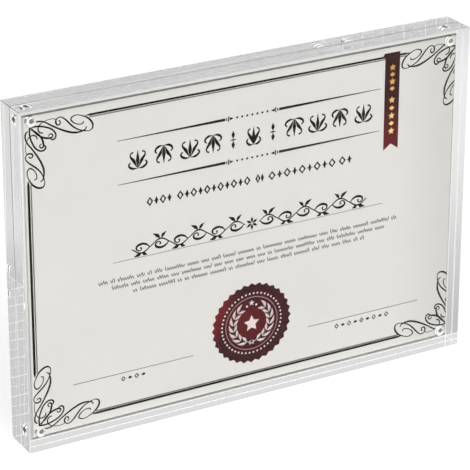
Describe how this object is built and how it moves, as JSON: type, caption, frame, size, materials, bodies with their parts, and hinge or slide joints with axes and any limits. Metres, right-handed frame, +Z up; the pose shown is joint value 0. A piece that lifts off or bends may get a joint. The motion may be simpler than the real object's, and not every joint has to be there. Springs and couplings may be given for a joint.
{
  "type": "certificate frame",
  "caption": "Free-standing block frame: clear acrylic panels held face to face by disc magnets at the corners, with a printed certificate sheet between them.",
  "frame": {"origin": "middle of the footprint, on the table", "axes": "+X along the width to the viewer's right, -Y out of the front, +Z up"},
  "size_m": [0.297, 0.024, 0.21],
  "materials": {
    "clear_acrylic": "clear, polished",
    "certificate_paper": "matt, printed",
    "nickel_plate": "bright nickel"
  },
  "bodies": {
    "back": {"back_panel": "clear_acrylic", "back_magnet_top_left": "nickel_plate", "back_magnet_top_right": "nickel_plate", "back_magnet_bottom_left": "nickel_plate", "back_magnet_bottom_right": "nickel_plate"},
    "front": {"front_panel": "clear_acrylic", "front_magnet_top_left": "nickel_plate", "front_magnet_top_right": "nickel_plate", "front_magnet_bottom_left": "nickel_plate", "front_magnet_bottom_right": "nickel_plate"},
    "sheet": {"certificate": "certificate_paper"}
  },
  "joints": [
    {"name": "front_pull", "type": "slide", "parent": "back", "child": "front", "axis": [0, -1, 0], "range_m": [0, 0.06]},
    {"name": "certificate_lift", "type": "slide", "parent": "back", "child": "sheet", "axis": [0, 0, 1], "range_m": [0, 0.22]}
  ]
}
